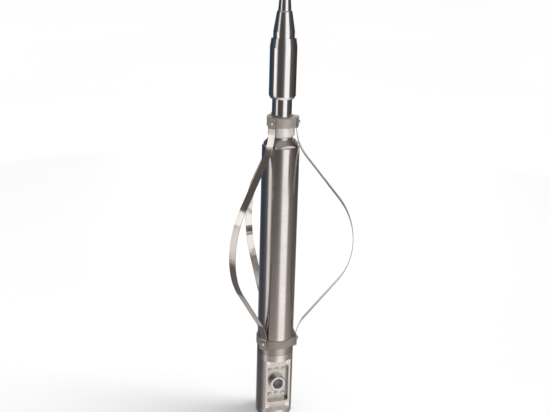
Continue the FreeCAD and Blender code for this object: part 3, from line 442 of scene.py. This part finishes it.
def finish_piece(obj, slot, body, stands_for, sharp=30.0, bevel=0.0, material=None):
    """Weld a piece's mesh, shade it, give it its material and hide the nodes that it stands for; a piece with a
    body is put on it, a bow's half has none here.
    """
    mesh = obj.data
    bm = bmesh.new()
    bm.from_mesh(mesh)
    bmesh.ops.remove_doubles(bm, verts=bm.verts, dist=SAME_PLACE)
    bmesh.ops.recalc_face_normals(bm, faces=bm.faces)
    bm.to_mesh(mesh)
    bm.free()
    mesh.shade_smooth()
    mesh.set_sharp_from_angle(angle=math.radians(sharp))
    mesh.materials.clear()
    mesh.materials.append(MATERIALS[material or slot])
    if bevel:
        add_bevel(obj, bevel)
    if body:
        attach(obj, body)
    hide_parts(*stands_for)


def add_bevel(obj, width):
    """Round a piece's sharp edges."""
    bevel = obj.modifiers.new("edges", "BEVEL")
    bevel.width = width
    bevel.segments = 3
    bevel.limit_method = "ANGLE"
    bevel.angle_limit = math.radians(40)
    bevel.harden_normals = True


def facing(azimuth, radius, height, across=0.0):
    """Frame whose Z points away from the axis, Y up and X along the turn."""
    angle = math.radians(azimuth)
    out = Vector((math.cos(angle), math.sin(angle), 0))
    along = Vector((-math.sin(angle), math.cos(angle), 0))
    matrix = Matrix((along, Vector((0, 0, 1)), out)).transposed().to_4x4()
    matrix.translation = out * radius + along * across + Vector((0, 0, height))
    return matrix


def reach(node, azimuth):
    """Furthest that a node goes from the axis in one direction."""
    angle = math.radians(azimuth)
    out = Vector((math.cos(angle), math.sin(angle), 0))
    return max(v.co.dot(out) for v in frame["nodes"][node].data.vertices)


def spread(node, azimuth):
    """Half width of a node across one direction."""
    return reach(node, azimuth + 90)


def middle(node):
    """Height of a node's middle."""
    return (low(node).z + high(node).z) / 2


def hexagon_radius(angle, corner_r):
    """Radius of a hexagon in one direction, from the radius of its corners."""
    flat_r = corner_r * math.cos(math.pi / 6)
    return flat_r / math.cos((angle % (math.pi / 3)) - math.pi / 6)


SOCKET_CHAMFER = 0.08 * MM
SOCKET_MOUTH = 1.07                     # how much wider the chamfer makes the socket
SOCKET_POINT = 0.3 * MM                 # cone that the drill leaves under the socket


def socket_screw(foot_r, foot, crown, socket_r, socket_depth, segments=48):
    """Screw head with a hexagon socket: crown is its (radius, height) outline from the rim inwards."""
    rows = []
    verts = []

    def point(height):
        rows.append([len(verts)] * segments)
        verts.append((0, 0, height))

    def ring(shape_r, height):
        rows.append(list(range(len(verts), len(verts) + segments)))
        for step in range(segments):
            angle = math.tau * step / segments
            radius = shape_r(angle)
            verts.append((radius * math.cos(angle), radius * math.sin(angle), height))

    point(foot)
    for radius, height in [(foot_r * 0.5, foot), (foot_r, foot)] + crown:
        ring(lambda angle, radius=radius: radius, height)
    top = crown[-1][1]
    ring(lambda angle: hexagon_radius(angle, socket_r) * SOCKET_MOUTH, top)
    ring(lambda angle: hexagon_radius(angle, socket_r), top - SOCKET_CHAMFER)
    ring(lambda angle: hexagon_radius(angle, socket_r), top - socket_depth)
    point(top - socket_depth - SOCKET_POINT)
    return verts, skin(rows)


def rounded_block(size, radius):
    """Block with rounded edges, centred on X and Y, standing on Z 0."""
    bm = bmesh.new()
    bmesh.ops.create_cube(bm, size=1.0)
    for v in bm.verts:
        v.co = Vector((v.co.x * size[0], v.co.y * size[1], (v.co.z + 0.5) * size[2]))
    bmesh.ops.bevel(bm, geom=bm.edges[:] + bm.verts[:], offset=radius, segments=3, profile=0.5,
                    affect="EDGES", clamp_overlap=True)
    bm.verts.index_update()
    shape = [tuple(v.co) for v in bm.verts], [[v.index for v in f.verts] for f in bm.faces]
    bm.free()
    return shape


# ---------------------------------------------------------------- bow springs and their clamps

CLAMP_THICKNESS = 1.6 * MM
CLAMP_ROUNDING = 0.35 * MM
SCREW_HEAD_R = 2.75 * MM
SCREW_HEAD_HEIGHT = 1.9 * MM
UPPER_SCREW_BELOW_TOP = 7.3 * MM
BOW_CUTS = 72
BOW_ROUNDING = 0.10 * MM
CUT_SLACK = 1e-6                        # corners this near to a cut count as on it


def cut_level(bm, height, **options):
    """Cut the mesh along a level plane."""
    everything = bm.verts[:] + bm.edges[:] + bm.faces[:]
    bmesh.ops.bisect_plane(bm, geom=everything, plane_co=(0, 0, height), plane_no=(0, 0, 1), **options)


def bow_half(side, half, crown_z):
    """Lower or upper half of one bow, cut out of its solid and divided finely."""
    node = f"bow_spring_{side}"
    name = f"bow_{half}_{side}"
    mesh = frame["nodes"][node].data.copy()
    mesh.name = name
    obj = placed(name, mesh)
    bm = bmesh.new()
    bm.from_mesh(mesh)
    bmesh.ops.remove_doubles(bm, verts=bm.verts, dist=CUT_SLACK)
    bmesh.ops.dissolve_limit(bm, angle_limit=math.radians(0.5), verts=bm.verts, edges=bm.edges)
    foot, tip = low(node).z, high(node).z
    for step in range(1, BOW_CUTS):
        cut_level(bm, foot + (tip - foot) * step / BOW_CUTS)
    cut_level(bm, crown_z, dist=CUT_SLACK, clear_outer=half == "lower", clear_inner=half == "upper")
    bmesh.ops.holes_fill(bm, edges=[edge for edge in bm.edges if edge.is_boundary])
    bm.to_mesh(mesh)
    bm.free()
    finish_piece(obj, "spring_steel", None, (node,), sharp=35.0, bevel=BOW_ROUNDING)
    darken_edges(obj, BOW_AZIMUTH[side])
    return obj


def darken_edges(obj, azimuth):
    """The strip's sheared edges are duller than its rolled faces."""
    angle = math.radians(azimuth)
    across = Vector((-math.sin(angle), math.cos(angle), 0))
    obj.data.materials.append(MATERIALS["sheared_steel"])
    for face in obj.data.polygons:
        if abs(face.normal.dot(across)) > 0.7:
            face.material_index = 1


def make_bows():
    """Two halves per bow, cut apart at its crown, the bow's point furthest from the axis."""
    for side in BOW_AZIMUTH:
        vertices = frame["nodes"][f"bow_spring_{side}"].data.vertices
        crown_z = max(vertices, key=lambda v: v.co.x ** 2 + v.co.y ** 2).co.z
        lower = bow_half(side, "lower", crown_z)
        upper = bow_half(side, "upper", crown_z)
        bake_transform(lower)
        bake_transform(upper)


def button_head():
    """Domed head: shares of its radius and heights, from the rim to the flat round the socket."""
    dome = [(1.0, 0.35 * MM), (0.97, 0.75 * MM), (0.86, 1.25 * MM), (0.70, 1.65 * MM),
            (0.60, SCREW_HEAD_HEIGHT)]
    crown = [(share * SCREW_HEAD_R, height) for share, height in dome]
    return socket_screw(SCREW_HEAD_R, 0.0, crown, 1.25 * MM, 1.1 * MM)


def clamp_block(node, azimuth, face, width):
    """Rounded block as tall as its node, with its outer side at a distance from the axis."""
    size = (width, high(node).z - low(node).z, CLAMP_THICKNESS)
    return moved(rounded_block(size, CLAMP_ROUNDING), facing(azimuth, face - CLAMP_THICKNESS, middle(node)))


def make_clamps():
    """Clamp blocks and button-head screws over the ends of the bows."""
    lower_blocks = []
    lower_screws = []
    for side, azimuth in BOW_AZIMUTH.items():
        node = f"upper_clamp_{side}"
        width = 2 * spread(node, azimuth)
        face = reach(node, azimuth) - SCREW_HEAD_HEIGHT
        screw_z = high(node).z - UPPER_SCREW_BELOW_TOP
        block = clamp_block(node, azimuth, face, width)
        screw = moved(button_head(), facing(azimuth, face, screw_z))
        piece(f"clamp_block_{side}", block, "blasted_steel", f"bow_{side}_end", (node,))
        piece(f"clamp_screw_{side}", screw, "screw_steel", f"bow_{side}_end", (node,))
        face = reach("lower_clamp_screws", azimuth) - SCREW_HEAD_HEIGHT
        lower_blocks.append(clamp_block("lower_clamp_plates", azimuth, face, width))
        lower_screws.append(moved(button_head(), facing(azimuth, face, middle("lower_clamp_screws"))))
    piece("lower_clamp_blocks", joined(lower_blocks), "blasted_steel", "probe", ("lower_clamp_plates",))
    piece("lower_clamp_screw_heads", joined(lower_screws), "screw_steel", "probe", ("lower_clamp_screws",))


# ---------------------------------------------------------------- camera head

LAMP_R = 2.5 * MM
LAMP_LENGTH = 4.6 * MM
LAMP_COLUMNS = (-1, 0, 1)
FLANGE_R = 3.15 * MM
FLANGE_TOP = -1.45 * MM                 # heights from the lamp's tip
FLANGE_FOOT = -2.75 * MM
CUP_R = 2.2 * MM
CUP_RIM = -1.3 * MM
CUP_FLOOR = -2.6 * MM
CUP_FOOT = -3.4 * MM
DIE_R = 1.15 * MM
DIE_TOP = -1.75 * MM
DIE_FOOT = -2.58 * MM


def lamp_places():
    """Frames at the tips of the six lamps, facing out of the head."""
    tip = reach("lamps", HEAD_AZIMUTH)
    pitch = spread("lamps", HEAD_AZIMUTH) - LAMP_R
    rows = (low("lamps").z + LAMP_R, high("lamps").z - LAMP_R)
    return [facing(HEAD_AZIMUTH, tip, height, column * pitch) for height in rows for column in LAMP_COLUMNS]


def lamp_dome(steps=12):
    """Half ball on a round body."""
    dome = [(0.0, 0.0)]
    for step in range(1, steps + 1):
        angle = math.pi / 2 * step / steps
        dome.append((LAMP_R * math.sin(angle), LAMP_R * (math.cos(angle) - 1)))
    return dome + [(LAMP_R, -LAMP_LENGTH), (0.0, -LAMP_LENGTH)]


def make_lamps():
    """Each lamp: an epoxy dome on a flange, a bright cup inside it and a phosphor die, with a faint painted
    glow, in the cup.
    """
    flange = [(LAMP_R, FLANGE_TOP), (FLANGE_R - 0.15 * MM, FLANGE_TOP - 0.1 * MM),
              (FLANGE_R, FLANGE_TOP - 0.3 * MM), (FLANGE_R, FLANGE_FOOT), (LAMP_R, FLANGE_FOOT),
              (LAMP_R, FLANGE_TOP)]
    cup = [(0.0, CUP_FLOOR), (0.8 * MM, CUP_FLOOR), (CUP_R - 0.25 * MM, CUP_RIM), (CUP_R, CUP_RIM),
           (CUP_R, CUP_FOOT), (0.0, CUP_FOOT)]
    die = [(0.0, DIE_TOP), (DIE_R - 0.25 * MM, DIE_TOP - 0.1 * MM), (DIE_R, DIE_TOP - 0.35 * MM),
           (DIE_R, DIE_FOOT), (0.0, DIE_FOOT)]
    places = lamp_places()
    parts = (("lamp_domes", lamp_dome(), 48, "lamp_epoxy", "lamp_epoxy"),
             ("lamp_flanges", flange, 48, "lamp_epoxy", "lamp_flange"),
             ("lamp_cups", cup, 32, "screw_steel", "screw_steel"),
             ("lamp_dies", die, 24, "lamp_epoxy", "lamp_phosphor"))
    for name, outline, segments, slot, material in parts:
        shape = joined([moved(lathe(outline, segments), place) for place in places])
        piece(name, shape, slot, "head", ("lamps",), sharp=40.0, material=material)


COUNTERSINK_R = 3.1 * MM
COUNTERSINK_GAP = 0.1 * MM


def make_plate_screws():
    """Countersunk screws of the lens plate, with a shallow crown and a hexagon socket."""
    head_r = COUNTERSINK_R - COUNTERSINK_GAP
    crown = [(head_r, -0.25 * MM), (0.93 * head_r, -0.05 * MM), (0.6 * head_r, 0.0)]
    head = socket_screw(0.62 * head_r, -1.5 * MM, crown, 1.15 * MM, 1.2 * MM)
    face = reach("plate_screws", HEAD_AZIMUTH)
    across = spread("plate_screws", HEAD_AZIMUTH) - COUNTERSINK_R
    rows = (low("plate_screws").z + COUNTERSINK_R, high("plate_screws").z - COUNTERSINK_R)
    screws = [moved(head, facing(HEAD_AZIMUTH, face, height, side * across))
              for height in rows for side in (-1, 1)]
    piece("plate_screw_heads", joined(screws), "screw_steel", "head", ("plate_screws",))


LENS_BORE_R = 4.55 * MM
LENS_GAP = 0.05 * MM
LENS_SAG = 1.1 * MM
LENS_RECESS = 0.9 * MM
LENS_THICKNESS = 3.2 * MM
BAFFLE_RISE = 0.3 * MM
BAFFLE_DEPTH = 6.0 * MM


def make_lens():
    """Stepped black baffle and a domed front element behind the port glass."""
    height = middle("port_glass")
    barrel_face = reach("lens_barrel", HEAD_AZIMUTH)
    cell_r = (high("lens_barrel").z - low("lens_barrel").z) / 2
    step = (cell_r - LENS_BORE_R) / 4
    baffle = [(LENS_BORE_R, -3 * BAFFLE_RISE), (LENS_BORE_R + step, -2 * BAFFLE_RISE),
              (LENS_BORE_R + step, -BAFFLE_RISE), (LENS_BORE_R + 2 * step, 0.0), (cell_r - BAFFLE_RISE, 0.0),
              (cell_r, -BAFFLE_RISE), (cell_r, -BAFFLE_DEPTH), (LENS_BORE_R, -BAFFLE_DEPTH),
              (LENS_BORE_R, -3 * BAFFLE_RISE)]
    ring = moved(lathe(baffle), facing(HEAD_AZIMUTH, barrel_face, height))
    piece("lens_baffle", ring, "lens_black", "head", ("lens_barrel",))
    rim_r = LENS_BORE_R - LENS_GAP
    dome = [(rim_r * share, -LENS_SAG * share ** 2) for share in (step / 10 for step in range(11))]
    dome += [(rim_r, -LENS_THICKNESS), (0.0, -LENS_THICKNESS)]
    lens = moved(lathe(dome), facing(HEAD_AZIMUTH, barrel_face - LENS_RECESS, height))
    piece("front_lens", lens, "lens_coating", "head", ("lens_element",))


# ---------------------------------------------------------------- finishes of the carried-over nodes

PLATE_ROUNDING = 0.35 * MM
FINISH_OF = {"slider_bushing": "matt_steel", "upper_ring": "pale_blasted", "port_ring": "ring_steel",
             "lower_bulkhead": "band_steel"}


def dress_nodes():
    """Each CAD node gets its slot's material, or a closer match of its own."""
    for node, obj in frame["nodes"].items():
        obj.data.materials.clear()
        obj.data.materials.append(MATERIALS[FINISH_OF.get(node, SLOT_OF[node])])
    add_bevel(frame["nodes"]["lens_plate"], PLATE_ROUNDING)


# ---------------------------------------------------------------- studio

OTHER_RAYS = ("diffuse", "shadow", "transmission", "volume_scatter")      # all but camera and glossy
FLOOR_REACH = 14.0
WALL_R = 13.0
TENT_R = 1.4
TENT_MIDDLE = 0.25
CARD_R = 0.30

# Round the tent: degrees from the -Y side, and the brightness there.
WALLS = [(-180, (1.20, 1.18, 1.16)), (-168, (1.10, 1.08, 1.06)), (-158, (0.05, 0.07, 0.11)),
         (-112, (0.030, 0.055, 0.100)), (-97, (0.06, 0.07, 0.09)), (-86, (0.11, 0.10, 0.105)),
         (-72, (0.12, 0.11, 0.11)), (-69.5, (0.98, 0.95, 0.93)), (-53, (1.05, 1.02, 1.00)),
         (-47, (0.13, 0.115, 0.12)), (-25, (0.080, 0.070, 0.072)), (-4, (0.10, 0.09, 0.09)),
         (8, (0.20, 0.185, 0.18)), (15, (0.48, 0.47, 0.46)), (21, (1.25, 1.24, 1.23)),
         (54, (1.30, 1.29, 1.28)), (63, (0.16, 0.15, 0.145)), (80, (0.11, 0.10, 0.095)),
         (110, (0.060, 0.055, 0.050)), (150, (0.040, 0.036, 0.034)), (168, (1.10, 1.08, 1.06)),
         (180, (1.20, 1.18, 1.16))]
GROUND = [(-180, (0.62, 0.58, 0.56)), (-140, (0.52, 0.49, 0.47)), (-131, (0.17, 0.15, 0.15)),
          (-72, (0.17, 0.15, 0.15)), (-64, (0.58, 0.54, 0.52)), (15, (1.20, 1.10, 1.03)),
          (60, (1.20, 1.10, 1.03)), (110, (0.60, 0.56, 0.53)), (180, (0.62, 0.58, 0.56))]
# Up the tent: share of its height, and how much of the ground, of the dark band and of the grey top shows.
GROUND_SHARE = [(0.0, 1.0), (0.12, 1.0), (0.18, 0.55), (0.24, 0.28), (0.34, 0.12), (0.44, 0.0), (1.0, 0.0)]
DARK_SHARE = [(0.0, 0.0), (0.845, 0.0), (0.865, 1.0)]
TOP_SHARE = [(0.0, 0.0), (0.91, 0.0), (0.96, 0.9)]
DARK_BAND = (0.125, 0.112, 0.108)
GREY_TOP = (0.40, 0.37, 0.355)


def studio_piece(name, shape, material, unseen_by):
    """Thing of the studio that some kinds of ray pass by."""
    mesh = mesh_of(name, shape)
    mesh.materials.append(material)
    obj = placed(name, mesh)
    for ray in unseen_by:
        setattr(obj, f"visible_{ray}", False)
    obj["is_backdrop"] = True
    return obj


def make_floor():
    corners = [(x * FLOOR_REACH, y * FLOOR_REACH, 0) for x, y in ((-1, -1), (1, -1), (1, 1), (-1, 1))]
    paint = Paint("studio_floor", Roughness=0.6)
    cloud = paint.noise(0.8, (1, 1, 1), 2.0)
    paint.colour(paint.ramp(cloud, [(0.3, (0.93, 0.93, 0.93)), (0.7, (0.96, 0.96, 0.96))]))
    studio_piece("floor", (corners, [(0, 1, 2, 3)]), paint.material, ("glossy",))


def turned_stops(bands):
    """Degrees from the -Y side, as places on a 0 to 1 ramp."""
    return [((degrees + 180) / 360, colour) for degrees, colour in bands]


def grey_stops(steps):
    return [(place, (value, value, value)) for place, value in steps]


def tent_light():
    """Light of the tent's inside, by the direction round it and the height up it."""
    paint = Paint("light_tent")
    axes = paint.node("ShaderNodeSeparateXYZ")
    paint.link(paint.place((1, -1, 1)), axes.inputs["Vector"])
    angle = paint.maths("ARCTAN2", axes.outputs["X"], axes.outputs["Y"])
    turn = paint.span(angle, 0.0, 1.0, -math.pi, math.pi)
    height = paint.span(axes.outputs["Z"], 0.0, 1.0, -TENT_R, TENT_R)
    walls = paint.ramp(turn, turned_stops(WALLS))
    ground = paint.ramp(turn, turned_stops(GROUND))
    lower = paint.mix(paint.ramp(height, grey_stops(GROUND_SHARE)), walls, ground)
    upper = paint.mix(paint.ramp(height, grey_stops(DARK_SHARE)), lower, DARK_BAND)
    whole = paint.mix(paint.ramp(height, grey_stops(TOP_SHARE)), upper, GREY_TOP)
    glow = paint.node("ShaderNodeEmission")
    paint.link(whole, glow.inputs["Color"])
    paint.link(glow.outputs["Emission"], paint.tree.nodes["Material Output"].inputs["Surface"])
    return paint.material


def make_tent():
    """Ball of soft boxes and dark cards round the probe, seen only in its reflections."""
    rises = [math.radians(degrees) for degrees in range(-90, 91, 6)]
    outline = [(TENT_R * math.cos(rise), TENT_R * math.sin(rise)) for rise in rises]
    tent = studio_piece("light_tent", lathe(outline), tent_light(), ("camera", *OTHER_RAYS))
    tent.location = (0, 0, TENT_MIDDLE)


def plain_light(name, colour, strength):
    """Surface that gives out light and reflects none."""
    return Paint(name, Base_Color=(0, 0, 0, 1), Specular_IOR_Level=0.0, Emission_Color=(*colour, 1),
                 Emission_Strength=strength).material


def make_backdrop():
    """Pale wall far behind the floor's edge, whichever way the camera looks."""
    wall = lathe([(WALL_R, -1.0), (WALL_R, 12.0), (0.0, 14.0)], 64)
    studio_piece("backdrop", wall, plain_light("backdrop", (1, 1, 1), 0.96), ("glossy", *OTHER_RAYS))


def make_card(name, turns, heights, brightness):
    """Narrow upright card close to the probe, that makes one patch along a polished bow."""
    angles = [math.radians(degrees) for degrees in range(turns[0], turns[1] + 1, 2)]
    verts = [(CARD_R * math.sin(angle), -CARD_R * math.cos(angle), height)
             for height in heights for angle in angles]
    count = len(angles)
    faces = [(n, n + 1, n + 1 + count, n + count) for n in range(count - 1)]
    light = plain_light(name, (1, 0.98, 0.96), brightness)
    studio_piece(name, (verts, faces), light, ("camera", *OTHER_RAYS))


def make_lights():
    """Even light from all round, and a soft sun from the upper right that lays the shadow to the left."""
    world = bpy.data.worlds.new("studio")
    bpy.context.scene.world = world
    world.use_nodes = True
    background = world.node_tree.nodes["Background"]
    background.inputs["Color"].default_value = (1.0, 1.0, 1.0, 1)
    background.inputs["Strength"].default_value = 0.62
    sun = bpy.data.lights.new("soft_sun", "SUN")
    sun.energy = 1.95
    sun.angle = math.radians(32)
    lamp = placed("soft_sun", sun)
    lamp.rotation_euler = Vector((-1.0, -0.22, -1.35)).to_track_quat("-Z", "Y").to_euler()
    lamp.visible_glossy = False
    bpy.context.scene.view_settings.view_transform = "Standard"


make_camera()
MATERIALS = make_materials()
dress_nodes()
make_bows()
make_clamps()
make_lamps()
make_plate_screws()
make_lens()
make_floor()
make_backdrop()
make_tent()
make_card("white_card", (-77, -57), (0.395, 0.515), 1.3)
make_card("dark_card", (50, 60), (0.245, 0.312), 0.07)
make_lights()

SIZES = {"cad_low": list(CAD_LOW), "cad_high": list(CAD_HIGH)}
SIZES["model_low"], SIZES["model_high"] = (list(corner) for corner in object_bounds())
